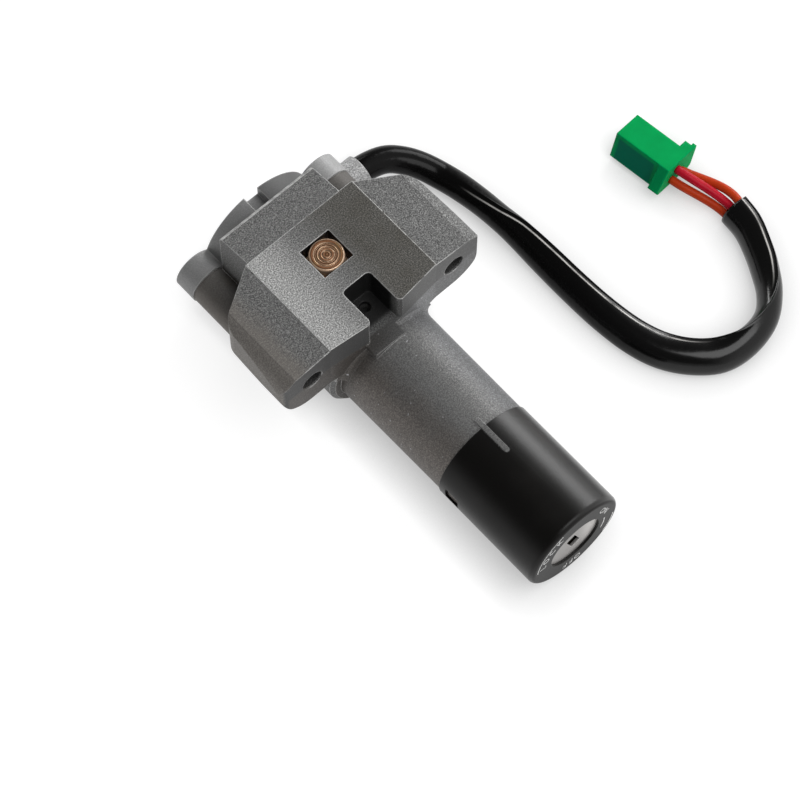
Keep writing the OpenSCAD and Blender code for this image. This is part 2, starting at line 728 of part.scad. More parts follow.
module lock_bolt() color("#b98a52") place() difference() {
    top = pad_height - bolt_sunk;
    half = bolt_side/2;
    union() {
        drawn(bolt_y - half, bolt_y + half) yoke_outline();
        translate([bolt_x, bolt_y, 0]) {
            block_between([-half, -half, 0], [half, half, top - bolt_tip]);
            translate([0, 0, top - bolt_tip - eps]) cylinder(h = bolt_tip + eps - 0.4, r = half - 0.1);
            translate([0, 0, top - 0.4]) cylinder(h = 0.4, r1 = half - 0.1, r2 = half - 0.5);
        }
    }
    drawn(bolt_y - half - eps, bolt_y + half + eps) slot_outline();
    for (r = [1.2, 2.3, 3.4]) translate([bolt_x, bolt_y, top - 0.2]) difference() {
        cylinder(h = 1, r = r + 0.2);
        translate([0, 0, -1]) cylinder(h = 3, r = r - 0.2);
    }
}

// LEAD
function lerp(a, b, t) = a + (b - a)*t;
function fold(i) = let (t = min(max((i - fold_from)/(fold_to - fold_from), 0), 1)) t*t*(3 - 2*t);

function half_width(i) = lerp(sleeve_r, sleeve_flat_w/2, fold(i));
function half_height(i) = lerp(sleeve_r, sleeve_flat_h/2, fold(i));
function lean(i) = lookup(i, leans);
function rise(i) = norm([half_width(i)*sin(lean(i)), half_height(i)*cos(lean(i))]);
function centre(i) = route[i] + [0, 0, rise(i)];

module sleeve() color("#161616") on_surface() {
    points = [0:len(route) - 1];
    cord([for (i = points) centre(i)], [for (i = points) half_width(i)], [for (i = points) half_height(i)],
        [for (i = points) lean(i)], 10);
}

module lead_wires() color("#c0392b") place() for (i = [0:2]) {
    a = contact_angles()[i];
    level = -spout_drop + lead_pitch*(1 - i);
    rivet = [contact_circle_r*cos(a), lead_y, contact_circle_r*sin(a)];
    bend = [lead_bend_x, lead_y, level];
    wire([rivet - [0.6, 0, 0], rivet + [0.6, 0, 0], lerp(rivet, bend, 0.5), bend,
        [lobe_x, lead_y, level], [route[0][0] - wire_gap, lead_y, level]], lead_r);
}

// CONNECTOR
module at_connector() on_surface() translate(plug_at) rotate([0, 0, plug_yaw])
    rotate([0, plug_roll, 0]) children();

// the flange slants out to a foot on the left and ends upright on the right
module flange_outline(right) polygon([[-plug_body_w/2, plug_body_h], [-flange_w/2, flange_low + 1],
    [-flange_w/2 + 1, flange_low], [right - 1, flange_low], [right, flange_low + 1], [right, plug_body_h]]);

module connector_housing() color("#1f9a5a") at_connector() difference() {
    flange_rear = -plug_body_l - flange_t;
    union() {
        block_between([-plug_body_w/2, -plug_body_l - 1, 0], [plug_body_w/2, 0, plug_body_h]);
        drawn(flange_rear, -plug_body_l) flange_outline(flange_w/2);
        drawn(flange_rear, flange_rear + lip_t) flange_outline(flange_w/2 + lip_reach);
    }
    block_between([-plug_body_w/2 + plug_wall, -socket_depth, plug_wall],
        [plug_body_w/2 - plug_wall, eps, plug_body_h - plug_wall]);
    for (w = wire_rows) translate([w[0], 0, w[1]]) turned(-plug_body_l, -socket_depth + eps, 1);
}

module connector_terminals() color("#c9b458") at_connector() for (w = wire_rows) translate([w[0], 0, w[1]]) {
    turned(-plug_body_l, -socket_depth, 0.95);
    block_between([-0.9, -socket_depth, -0.4], [0.9, -blade_from, 0.4]);
}

function connector_point(v) = let (a = plug_yaw, b = plug_roll,
    x = v[0]*cos(b) + v[2]*sin(b), z = -v[0]*sin(b) + v[2]*cos(b))
    plug_at + [x*cos(a) - v[1]*sin(a), x*sin(a) + v[1]*cos(a), z];

function bezier(p, t) = p[0]*pow(1 - t, 3) + 3*p[1]*t*pow(1 - t, 2) + 3*p[2]*t*t*(1 - t) + p[3]*pow(t, 3);

module lead_wire(w) {
    last = len(route) - 1;
    end = centre(last);
    t = unit(end - centre(last - 1));
    s = across(t);
    mouth = cross(s, t)*cos(lean(last)) - s*sin(lean(last));
    back = -plug_body_l - flange_t - wire_gap;
    from = end + t*wire_gap + mouth*w[2];
    to = connector_point([w[0], back, w[1]]);
    out = [from + t*wire_stub, from + t*(wire_stub + wire_pull) + s*w[3],
        connector_point([w[0] + w[3], back - wire_stub - wire_pull, w[1]]),
        connector_point([w[0], back - wire_stub, w[1]])];
    on_surface() wire(concat([from], [for (k = [0:8]) bezier(out, k/8)], [to]), wire_d/2);
}

module wire_red() color("#c4122f") lead_wire(wire_rows[1]);
module wire_orange_1() color("#e8452c") lead_wire(wire_rows[0]);
module wire_orange_2() color("#ea5a34") lead_wire(wire_rows[2]);

housing();
front_cap();
rear_cover();
cover_screws();
retaining_pin();
contact_base();
fixed_contacts();
lead_wires();
sleeve();
wire_red();
wire_orange_1();
wire_orange_2();
connector_housing();
connector_terminals();
lock_plug();
plug_face();
tumblers();
tumbler_springs();
drive_shaft();
crank_disc();
crank_pin();
contact_rotor();
bridge_contact();
contact_springs();
detent_ball();
detent_spring();
lock_bolt();
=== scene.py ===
"""Finishes, lead, dial print and stage of an ignition switch with steering lock, round its CAD frame."""

from math import cos, exp, hypot, pi, radians, sin

import bmesh
import bpy
from bpy.props import FloatProperty, FloatVectorProperty, PointerProperty
from bpy.types import Operator, Panel, PropertyGroup
from mathutils import Matrix, Vector


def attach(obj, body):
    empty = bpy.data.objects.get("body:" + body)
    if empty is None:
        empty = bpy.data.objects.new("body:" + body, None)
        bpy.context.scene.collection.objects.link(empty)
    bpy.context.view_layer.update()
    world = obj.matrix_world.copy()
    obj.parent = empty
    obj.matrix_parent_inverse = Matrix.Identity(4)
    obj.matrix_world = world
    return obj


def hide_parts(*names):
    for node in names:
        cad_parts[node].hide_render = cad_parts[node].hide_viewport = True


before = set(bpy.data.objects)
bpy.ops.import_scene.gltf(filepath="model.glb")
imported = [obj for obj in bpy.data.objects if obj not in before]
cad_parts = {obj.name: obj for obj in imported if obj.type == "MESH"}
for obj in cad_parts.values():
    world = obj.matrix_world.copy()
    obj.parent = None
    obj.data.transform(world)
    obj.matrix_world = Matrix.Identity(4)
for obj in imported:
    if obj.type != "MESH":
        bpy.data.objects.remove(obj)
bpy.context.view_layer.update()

bl_info = {
    "name": "Ignition Switch Finisher",
    "version": (1, 0, 0),
    "blender": (4, 5, 0),
    "location": "3D View > Sidebar > Switch",
    "description": "Dresses the packed ignition switch: castings, dial, sleeved lead, connector and stage",
    "category": "Object",
}

MM = 0.001
# the ears' front face on the lock axis, in millimetres of the shared frame
LOCK_AXIS = Vector((0.0, 11.45, 16.0))
DIAL_Y = -76.9
BOLT_AT = LOCK_AXIS + Vector((-0.6, 22.3, 0.0))
KEY_LEAN = radians(20)

# lead route from part.scad: x and y from the lock axis, underside over the resting surface, in millimetres
REST = 0.1
SPOUT_UNDER = 5.9
SLEEVE_ROUTE = [
    (30, 48.8, SPOUT_UNDER), (36, 48.8, SPOUT_UNDER), (42.5, 47.5, 4.7), (47, 44.5, 3.1), (50.5, 40, 1.5),
    (53, 34.5, REST), (54.5, 28, REST), (55.5, 20.5, REST), (56, 13, REST), (56.5, 5, REST),
    (56.5, -6, REST), (56.5, -18, REST), (57, -29.5, REST), (58.5, -40, REST), (61.5, -48.5, REST),
    (66.5, -55.5, REST), (73, -60.5, REST), (81, -62.5, REST), (89.5, -61, REST), (96, -56, REST),
    (100.7, -49.3, REST), (104.1, -42.8, REST), (106.6, -36.4, REST), (107.5, -30, REST),
]
# the sleeve is pressed flat between these two points of its route
FOLD_FROM, FOLD_TO = 5, 9
# lean of the flat sleeve towards the inside of the loop, as (point of the route, degrees)
LEANS = [(0, 0), (7.5, 0), (9.5, 36), (14, 54), (16, 50), (18, 8), (19.5, -32), (23, -45)]
CONNECTOR_AT = (99.2, 8.0, 1.1023)
CONNECTOR_YAW, CONNECTOR_ROLL = radians(7), radians(13)
CONNECTOR_REAR = -19.0
# each wire: slot and level in the connector, place in the sleeve's mouth, and bow to the side
WIRES = {
    "wire_orange_1": (-1.6, 3.8, -2.75, 0.0),
    "wire_red": (0.0, 7.2, 0.0, 0.0),
    "wire_orange_2": (2.6, 4.4, 2.75, 1.5),
}


def from_axis(x, y, z):
    """A point measured from the lock axis and the ears' face, in millimetres, as metres of the frame."""
    return (Vector((x, y, z)) + LOCK_AXIS) * MM


def over_surface(x, y, height):
    """A point given by its height over the resting surface, in millimetres, as metres of the frame."""
    return Vector((x, y + LOCK_AXIS.y, height)) * MM


def smooth(t):
    t = min(max(t, 0.0), 1.0)
    return t * t * (3 - 2 * t)


def lerp(a, b, t):
    return a + (b - a) * t


def grey(level):
    return (level,) * 3


def toned(base, factor):
    """A colour made darker or lighter."""
    return tuple(c * factor for c in base)


# Shader graphs


class Channel:
    """A shader socket that takes part in Python arithmetic: each operation adds one Math node."""

    def __init__(self, graph, socket):
        self.graph, self.socket = graph, socket

    def _math(self, operation, a, b):
        return self.graph.node("Math", {"operation": operation}, {0: a, 1: b})

    def __add__(self, other):
        return self._math("ADD", self, other)

    __radd__ = __add__

    def __sub__(self, other):
        return self._math("SUBTRACT", self, other)

    def __rsub__(self, other):
        return self._math("SUBTRACT", other, self)

    def __mul__(self, other):
        return self._math("MULTIPLY", self, other)

    def __pow__(self, other):
        return self._math("POWER", self, other)

    def __abs__(self):
        return self._math("ABSOLUTE", self, 0.0)

    def larger(self, other):
        return self._math("MAXIMUM", self, other)


class Graph:
    """A node tree under construction."""

    def __init__(self, tree):
        self.tree = tree

    def node(self, kind, settings=None, sockets=None, out=0):
        """Adds a node: its settings first, then the values or links of its sockets."""
        made = self.tree.nodes.new("ShaderNode" + kind)
        for name, value in (settings or {}).items():
            setattr(made, name, value)
        for name, value in (sockets or {}).items():
            self.feed(made.inputs[name], value)
        return Channel(self, made.outputs[out])

    def feed(self, socket, value):
        if isinstance(value, Channel):
            self.tree.links.new(value.socket, socket)
        elif socket.type == "RGBA" and len(value) == 3:
            socket.default_value = (*value, 1.0)
        else:
            socket.default_value = value

    def mix(self, factor, a, b):
        """Colour a where factor is 0, colour b where it is 1."""
        return self.node("Mix", {"data_type": "RGBA"}, {0: factor, 6: a, 7: b}, out=2)

    def scaled(self, vector, factor):
        """A vector or a colour times a number."""
        return self.node("VectorMath", {"operation": "SCALE"}, {0: vector, "Scale": factor})

    def step(self, value, low, high):
        """0 below low, 1 above high, smooth between; low may be the larger."""
        sockets = {"Value": value, "From Min": low, "From Max": high}
        return self.node("MapRange", {"interpolation_type": "SMOOTHSTEP"}, sockets)

    def between(self, value, low, high, soft):
        """1 from low to high, falling to 0 within soft outside them."""
        return self.step(value, low - soft, low) * self.step(value, high + soft, high)

    def inside(self, at, box):
        """1 inside a box that gives low, high and soft for each axis."""
        a, b, c = (self.between(value, *edge) for value, edge in zip(at, box))
        return a * b * c

    @staticmethod
    def radius(a, b):
        """Distance from where both channels are 0."""
        return (a * a + b * b) ** 0.5

    def millimetres(self):
        """Place on the piece in millimetres of the shared frame."""
        return self.scaled(self.node("TexCoord", out="Object"), 1000.0)

    def axis_place(self, place):
        """Place from the lock axis and the ears' face, as three channels in millimetres."""
        return self.split(self.node("VectorMath", {"operation": "SUBTRACT"}, {0: place, 1: LOCK_AXIS}))

    def facing(self):
        """Direction of the surface, as three channels."""
        return self.split(self.node("NewGeometry", out="Normal"))

    def split(self, vector):
        return [self.node("SeparateXYZ", sockets={0: vector}, out=i) for i in range(3)]

    def noise(self, place, scale, detail=2.0, roughness=0.5):
        sockets = {"Vector": place, "Scale": scale, "Detail": detail, "Roughness": roughness}
        return self.node("TexNoise", sockets=sockets)


class Finish(Graph):
    """A material: constants go straight to its shader, varying channels are fed to it."""

    def __init__(self, name, **constants):
        self.material = bpy.data.materials.new(name)
        self.material.use_nodes = True
        super().__init__(self.material.node_tree)
        self.shader = self.tree.nodes["Principled BSDF"]
        for key, value in constants.items():
            self.give(key.replace("_", " "), value)

    def give(self, socket, value):
        self.feed(self.shader.inputs[socket], value)

    def bump(self, height, strength, depth, under=None):
        """Bump from a height channel; depth is in millimetres."""
        sockets = {"Height": height, "Strength": strength, "Distance": depth * MM}
        if under:
            sockets["Normal"] = under
        return self.node("Bump", sockets=sockets)

    def rounded(self, radius):
        """Normals that run over the edges as if they were rounded; radius in millimetres."""
        return self.node("Bevel", {"samples": 6}, {"Radius": radius * MM})

    def edges(self, rounded):
        """1 on the edges that rounded() softens, 0 on open faces."""
        flat = self.node("NewGeometry", out="Normal")
        across = self.node("VectorMath", {"operation": "DOT_PRODUCT"}, {0: rounded, 1: flat}, out="Value")
        return self.step(across, 0.995, 0.93)


def wear(*pieces, finish):
    """Puts a finish on pieces and on CAD nodes given by name."""
    for piece in pieces:
        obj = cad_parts[piece] if isinstance(piece, str) else piece
        obj.data.materials.clear()
        obj.data.materials.append(finish.material)


# Objects and meshes


def add_object(name, data):
    obj = bpy.data.objects.new(name, data)
    bpy.context.scene.collection.objects.link(obj)
    return obj


def aim(obj, place, target):
    """Puts a camera or a lamp at a place and turns it to a target."""
    obj.location = place
    obj.rotation_mode = "QUATERNION"
    obj.rotation_quaternion = (target - place).to_track_quat("-Z", "Y")


def add_mesh(name, points, faces):
    mesh = bpy.data.meshes.new(name)
    mesh.from_pydata(points, [], faces)
    mesh.validate()
    mesh.shade_smooth()
    return add_object(name, mesh)


def spline(points, parts):
    """A smooth line through points that may carry more numbers than their place."""
    line = []
    for i in range(len(points) - 1):
        a, b = points[max(i - 1, 0)], points[i]
        c, d = points[i + 1], points[min(i + 2, len(points) - 1)]
        squared, cubed = 2 * a - 5 * b + 4 * c - d, 3 * b - a - 3 * c + d
        for k in range(parts):
            t = k / parts
            line.append(0.5 * (2 * b + (c - a) * t + squared * t**2 + cubed * t**3))
    return line + [points[-1]]


def place_of(point):
    return Vector(point[:3])


def rings_along(line, section):
    """Rings of points: section(point, side, up) gives the offsets of a ring from the line."""
    rings = []
    for i, point in enumerate(line):
        along = (place_of(line[min(i + 1, len(line) - 1)]) - place_of(line[max(i - 1, 0)])).normalized()
        side = along.cross(Vector((0, 0, 1))).normalized()
        rings.append([place_of(point) + offset for offset in section(point, side, side.cross(along))])
    return rings


def skin(name, rings):
    """A closed skin over rings of equal size, with its two ends filled."""
    count = len(rings[0])
    faces = [
        (i * count + j, i * count + (j + 1) % count, (i + 1) * count + (j + 1) % count, (i + 1) * count + j)
        for i in range(len(rings) - 1)
        for j in range(count)
    ]
    last = (len(rings) - 1) * count
    faces += [tuple(range(count - 1, -1, -1)), tuple(range(last, last + count))]
    return add_mesh(name, [p for ring in rings for p in ring], faces)


# Sizes and colours


def size(name, description, default):
    return FloatProperty(name=name, description=description, default=default, unit="LENGTH", precision=5)


def bearing(name, description, degrees):
    return FloatProperty(name=name, description=description, default=radians(degrees), subtype="ANGLE")


def colour(name, description, default):
    return FloatVectorProperty(
        name=name, description=description, default=default, subtype="COLOR", size=3, min=0.0, max=1.0
    )


class SwitchSizes(PropertyGroup):
    """Sizes of what is built here round the CAD frame."""

    sleeve_d: size("Sleeve diameter", "Round sleeve where it leaves the spout", 0.0082)
    flat_w: size("Flat width", "Width of the flattened sleeve in its loop", 0.0072)
    flat_h: size("Flat height", "Height of the flattened sleeve in its loop", 0.0104)
    sleeve_wall: size("Sleeve wall", "Wall of the sleeve at its open end", 0.00055)
    wire_d: size("Wire diameter", "Outside diameter of each wire", 0.0026)
    letter_h: size("Letter height", "Height of the words on the dial", 0.0022)
    print_t: size("Print thickness", "How far the dial print stands off the dial", 0.00004)


class SwitchColours(PropertyGroup):
    """Colours of the finishes."""

    cast: colour("Cast metal", "Blasted cast housing", (0.138, 0.138, 0.136))
    # the pale edges it gives are worn, and in part a painted highlight
    cast_pale: colour("Pale cast metal", "Bright specks and worn edges of the casting", (0.62, 0.62, 0.61))
    cast_brown: colour("Stained cast metal", "Brown storage stain on the casting", (0.112, 0.096, 0.081))
    cap: colour("Cap", "Black moulded cap", (0.0046, 0.0042, 0.0038))
    face: colour("Plug face", "Satin steel disc at the keyway", (0.62, 0.60, 0.58))
    bolt: colour("Bolt", "Copper plating on the lock bolt", (0.29, 0.128, 0.060))
    sleeve: colour("Sleeve", "Black vinyl sleeve", (0.0030, 0.0029, 0.0029))
    red: colour("Red wire", "Insulation of the red wire", (0.58, 0.006, 0.026))
    orange: colour("Orange wires", "Insulation of the two orange wires", (0.60, 0.052, 0.010))
    connector: colour("Connector", "Green moulded connector", (0.0005, 0.34, 0.085))
    legend: colour("Print", "Words and arcs on the dial", (0.72, 0.72, 0.71))


class StageSettings(PropertyGroup):
    """Camera, lamps and floor."""

    azimuth: bearing("Azimuth", "Camera's angle round the switch", -42.14)
    elevation: bearing("Elevation", "Camera's angle above the floor", 65.82)
    distance: size("Distance", "Camera to the middle of the view", 0.88518)
    lens: FloatProperty(
        name="Lens", description="Focal length on a 36 mm sensor, in millimetres", default=145.15
    )
    floor: colour("Floor", "Pale floor", (0.93, 0.93, 0.93))


# Operators


class SWITCH_OT_stage(Operator):
    """Set up the camera, the soft lamps, the pale floor and the white surroundings"""

    bl_idname = "switch.stage"
    bl_label = "Stage"

    def execute(self, context):
        settings, scene = context.scene.switch_stage, context.scene
        target = from_axis(-6.68, -14.01, 0)
        self.camera(scene, settings, target)
        self.lamps(target)
        self.surroundings(scene)
        self.floor(tuple(settings.floor))
        scene.view_settings.view_transform = "Standard"
        return {"FINISHED"}

    @staticmethod
    def camera(scene, settings, target):
        turn, rise = settings.azimuth, settings.elevation
        back = Vector((sin(turn) * cos(rise), -cos(turn) * cos(rise), sin(rise)))
        data = bpy.data.cameras.new("camera")
        data.lens, data.sensor_width = settings.lens, 36
        scene.camera = add_object("camera", data)
        aim(scene.camera, target + back * settings.distance, target)

    @staticmethod
    def lamps(target):
        # place from the middle of the view in metres, width, height, watts
        rows = {
            "right_lamp": ((0.86, 0.28, 0.42), 0.3, 0.5, 2.6),
            "front_lamp": ((0.05, -0.42, 0.90), 0.6, 0.6, 4.2),
            "rear_strip": ((0.26, 0.86, 0.40), 0.5, 0.06, 1.8),
        }
        for name, (place, width, height, watts) in rows.items():
            lamp = bpy.data.lights.new(name, "AREA")
            lamp.shape, lamp.size, lamp.size_y, lamp.energy = "RECTANGLE", width, height, watts
            aim(add_object(name, lamp), target + Vector(place), target)

    @staticmethod
    def floor(white):
        """Paper that is partly white of its own where it shows, which keeps the shadows light and close;
        near the switch that own white is darkened into a painted contact shadow.
        """
        half = 3.0
        corners = [(-half, -half, 0), (half, -half, 0), (half, half, 0), (-half, half, 0)]
        floor = add_mesh("floor", corners, [(0, 1, 2, 3)])
        paper = Finish("studio_paper", Roughness=0.9, Specular_IOR_Level=0.1, Emission_Strength=1.0)
        mottle = paper.noise(paper.millimetres(), 0.004, 2.0)
        seen, mirrored, through = (
            paper.node("LightPath", out=f"Is {kind} Ray") for kind in ("Camera", "Glossy", "Transmission")
        )
        shown = seen.larger(mirrored).larger(through)
        own, shaded, lit, mirrored_lit = 0.85, 0.38, 0.28, 0.22
        reach = 0.013
        open_air = paper.node("AmbientOcclusion", {"samples": 8}, {"Distance": reach}, out="AO") ** 1.5
        tone = paper.mix(mottle, grey(lit), grey(lit * 0.97))
        paper.give("Base Color", paper.mix(seen, paper.mix(shown, white, grey(mirrored_lit)), tone))
        # where the air is closed in near the switch, the paper's own white falls to shaded: a painted
        # contact shadow
        glow = paper.mix(open_air, grey(shaded), grey(own))
        paper.give("Emission Color", paper.mix(shown, grey(0.0), glow))
        wear(floor, finish=paper)

    @staticmethod
    def surroundings(scene):
        """Bright to the right, to the front and low down, so that black gloss keeps its form."""
        world = bpy.data.worlds.new("studio")
        world.use_nodes = True
        scene.world = world
        graph = Graph(world.node_tree)
        x, y, z = graph.split(graph.node("TexCoord", out="Generated"))
        open_side = graph.step(x * 0.8 - y * 0.6, 0.0, 0.6)
        low_down = graph.step(z, 0.40, 0.05) * 0.6
        shade = graph.mix(open_side.larger(low_down), grey(0.10), grey(1.0))
        background = world.node_tree.nodes["Background"]
        graph.feed(background.inputs["Color"], shade)
        background.inputs["Strength"].default_value = 1.0


class SWITCH_OT_lead(Operator):
    """Build the black sleeve and the three wires that run in it to the connector"""

    bl_idname = "switch.lead"
    bl_label = "Sleeved lead"

    def execute(self, context):
        sizes, colours = context.scene.switch_sizes, context.scene.switch_colours
        line = spline([self.station(i, sizes) for i in range(len(SLEEVE_ROUTE))], parts=6)
        sleeve = self.sleeve(line, sizes.sleeve_wall)
        wear(sleeve, finish=self.sleeve_finish(colours.sleeve))
        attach(sleeve, "switch_body")
        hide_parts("sleeve")
        finishes = {
            "wire_red": self.wire_finish("red_insulation", colours.red),
            "wire_orange": self.wire_finish("orange_insulation", colours.orange),
        }
        for node, row in WIRES.items():
            kind = "wire_red" if node == "wire_red" else "wire_orange"
            wire = self.wire(node + "_strand", line, row, sizes.wire_d / 2)
            wear(wire, finish=finishes[kind])
            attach(wire, "switch_body")
            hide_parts(node)
        return {"FINISHED"}

    @staticmethod
    def station(i, sizes):
        """A point of the route with the sleeve's half width, half height, fold and lean there."""
        fold = smooth((i - FOLD_FROM) / (FOLD_TO - FOLD_FROM))
        wide = lerp(sizes.sleeve_d, sizes.flat_w, fold) / 2
        high = lerp(sizes.sleeve_d, sizes.flat_h, fold) / 2
        spans = zip(LEANS, LEANS[1:])
        (a, low), (b, top) = next(span for span in spans if span[0][0] <= i <= span[1][0])
        lean = radians(lerp(low, top, (i - a) / (b - a)))
        x, y, under = SLEEVE_ROUTE[i]
        rise = hypot(wide * sin(lean), high * cos(lean))
        return Vector((*over_surface(x, y, under + rise / MM), wide, high, fold, lean))

    @staticmethod
    def sleeve(line, wall):
        """A tube with a hollow mouth, round at the spout and a creased lens where it is pressed flat."""
        around, mouth_rings = 72, 18
        crease, crease_width, pinch = 0.35 * MM, 0.12, 0.4

        def section(point, side, up, inset=0.0):
            wide, high, fold, lean = point[3:]
            across, tall = side * cos(lean) + up * sin(lean), up * cos(lean) - side * sin(lean)
            for j in range(around):
                turn = 2 * pi * j / around
                c, s = cos(turn), sin(turn)
                c = abs(c) ** (1 + pinch * fold) * (1 if c > 0 else -1)
                ridge = crease * fold * exp(-(((turn - pi / 2) / crease_width) ** 2))
                yield across * (wide - inset) * c + tall * ((high - inset) * s + ridge)

        outer = rings_along(line, section)
        inner = rings_along(line, lambda point, side, up: section(point, side, up, wall))
        tube = skin("sleeve_tube", outer + inner[-mouth_rings:][::-1])
        # a painted highlight line runs beside the fold, on its left in both arms of the loop
        fold_highlight = tube.data.attributes.new("fold_highlight", "FLOAT", "POINT")
        top, beside, turned = around // 4, 5, len(line) * 3 // 4
        for i, point in enumerate(line):
            j = top - beside if i < turned else top + beside
            fold_highlight.data[i * around + j].value = point[5]
        return tube

    @staticmethod
    def wire(name, line, row, radius):
        slot, level, along_mouth, bow = row
        end, lean = place_of(line[-1]), line[-1][6]
        along = (end - place_of(line[-3])).normalized()
        side = along.cross(Vector((0, 0, 1))).normalized()
        mouth = side.cross(along) * cos(lean) - side * sin(lean)
        start = end + mouth * along_mouth * MM
        tilt = Matrix.Rotation(CONNECTOR_YAW, 3, "Z") @ Matrix.Rotation(CONNECTOR_ROLL, 3, "Y")
        pull = 6.2

        def at_connector(x, y, z):
            return over_surface(*(Vector(CONNECTOR_AT) + tilt @ Vector((x, y, z))))

        a, b = start, start + (along * pull + side * bow) * MM
        c = at_connector(slot + bow, CONNECTOR_REAR - pull, level)
        d = at_connector(slot, CONNECTOR_REAR, level)
        path = [start - along * hidden * MM for hidden in (9, 6, 3)]
        parts, around = 24, 16
        for k in range(parts + 1):
            t = k / parts
            path.append(a * (1 - t) ** 3 + 3 * b * t * (1 - t) ** 2 + 3 * c * t**2 * (1 - t) + d * t**3)
        turns = [2 * pi * j / around for j in range(around)]

        def section(_, across, up):
            return [(across * cos(turn) + up * sin(turn)) * radius for turn in turns]

        return skin(name, rings_along(path, section))

    @staticmethod
    def sleeve_finish(base):
        finish = Finish("sleeve_vinyl", Specular_IOR_Level=0.09, Coat_Roughness=0.17)
        place = finish.millimetres()
        x, y, _ = finish.split(place)
        cloud = finish.noise(place, 0.12, 3.0)
        scuff = finish.step(finish.noise(place, 0.9, 4.0, 0.65), 0.60, 0.78)
        tone = finish.mix(scuff * 0.5, tuple(base), tuple(c * 2.4 + 0.004 for c in base))
        # painted highlight: the vinyl is painted pale beside the fold, on the two arms of the loop
        edge = finish.node("Attribute", {"attribute_name": "fold_highlight"}, out="Fac")
        painted_fold_highlight = edge * finish.step(cloud, 0.22, 0.56) * finish.between(y, -37.0, 30.0, 9.0)
        finish.give("Base Color", finish.mix(painted_fold_highlight, tone, (0.74, 0.72, 0.69)))
        finish.give("Roughness", 0.16 + cloud * 0.08 + scuff * 0.08)
        # the bend is stretched and shines most
        bend = finish.step(y, 0.0, -26.0) * finish.step(x, 52.0, 60.0)
        finish.give("Coat Weight", 0.02 + cloud * 0.06 + bend * 0.42)
        ripple = finish.noise(place, 0.35, 2.0)
        finish.give("Normal", finish.bump(ripple, 0.25, 0.5))
        return finish

    @staticmethod
    def wire_finish(name, base):
        finish = Finish(name, Specular_IOR_Level=0.15)
        place = finish.millimetres()
        streak = finish.noise(place, 0.45, 3.0)
        grain = finish.noise(place, 3.0, 2.0)
        finish.give("Base Color", finish.mix(streak, tuple(base), toned(base, 0.72)))
        finish.give("Roughness", 0.30 + grain * 0.14)
        finish.give("Normal", finish.bump(grain, 0.12, 0.15))
        return finish


class SWITCH_OT_connector(Operator):
    """Finish the green connector and its blades"""

    bl_idname = "switch.connector"
    bl_label = "Connector"

    def execute(self, context):
        base = tuple(context.scene.switch_colours.connector)
        wear("connector_housing", finish=self.nylon_finish(base))
        wear("connector_terminals", finish=metal_finish("tinned_blade", (0.62, 0.56, 0.36), 0.28))
        return {"FINISHED"}

    @staticmethod
    def nylon_finish(base):
        finish = Finish(
            "green_nylon", Specular_IOR_Level=0.02,
            Subsurface_Weight=0.12, Subsurface_Scale=0.002, Subsurface_Radius=(0.3, 1.0, 0.5),
        )
        place = finish.millimetres()
        cloud = finish.noise(place, 0.22, 2.0)
        grain = finish.noise(place, 3.5, 2.0)
        round_edge = finish.rounded(0.8)
        painted_edge_highlight = finish.edges(round_edge)
        shade = finish.mix(cloud, toned(base, 0.80), toned(base, 1.12))
        left_side_shade = finish.step(finish.facing()[0], -0.3, -0.8)
        own_place = finish.node(
            "Mapping", {"vector_type": "TEXTURE"},
            {
                "Vector": place, "Location": over_surface(*CONNECTOR_AT) / MM,
                "Rotation": (0.0, CONNECTOR_ROLL, CONNECTOR_YAW),
            },
        )
        _, along, up = finish.split(own_place)
        # painted shade on the faces that look left, darkest on the panel in the middle of the side
        side_panel = finish.between(along, -13.8, -1.8, 0.9) * finish.between(up, -1.0, 8.4, 0.9)
        shade = finish.mix(left_side_shade * (0.35 + side_panel * 0.65), shade, (0.0004, 0.14, 0.080))
        # the edges are painted lighter: a painted highlight
        finish.give("Base Color", finish.mix(painted_edge_highlight * 0.3, shade, (0.001, 0.42, 0.16)))
        finish.give("Roughness", 0.42 + grain * 0.16)
        finish.give("Normal", finish.bump(grain, 0.10, 0.12, round_edge))
        return finish


def metal_finish(name, base, roughness, keyed=False):
    """Machined metal with fine marks and a few dark spots; if keyed, painted black shade inside the keyway.
    """
    finish = Finish(name, Metallic=1.0)
    place = finish.millimetres()
    marks = finish.noise(place, 2.6, 3.0, 0.6)
    spots = finish.step(finish.noise(place, 0.5, 3.0), 0.56, 0.72)
    tone = finish.mix(spots * 0.6, base, toned(base, 0.55))
    if keyed:
        x, _, z = finish.axis_place(place)
        wide, high = x * cos(KEY_LEAN) + z * sin(KEY_LEAN), z * cos(KEY_LEAN) - x * sin(KEY_LEAN)
        inside = finish.between(wide, -2.1, 2.1, 0.1) * finish.between(high, -3.7, 3.7, 0.1)
        # inside the keyway the colour is painted black: painted shade
        tone = finish.mix(inside * 0.97, tone, grey(0.004))
    finish.give("Base Color", tone)
    finish.give("Roughness", roughness + marks * 0.16)
    finish.give("Normal", finish.bump(marks, 0.12, 0.1))
    return finish


def plastic_finish(name, base, roughness):
    """Moulded insulating plastic with a faint flow pattern."""
    finish = Finish(name)
    place = finish.millimetres()
    flow = finish.noise(place, 0.3, 4.0, 0.6)
    grain = finish.noise(place, 4.0, 2.0)
    finish.give("Base Color", finish.mix(flow, base, toned(base, 0.7)))
    finish.give("Roughness", roughness + grain * 0.15)
    finish.give("Normal", finish.bump(grain, 0.10, 0.1))
    return finish


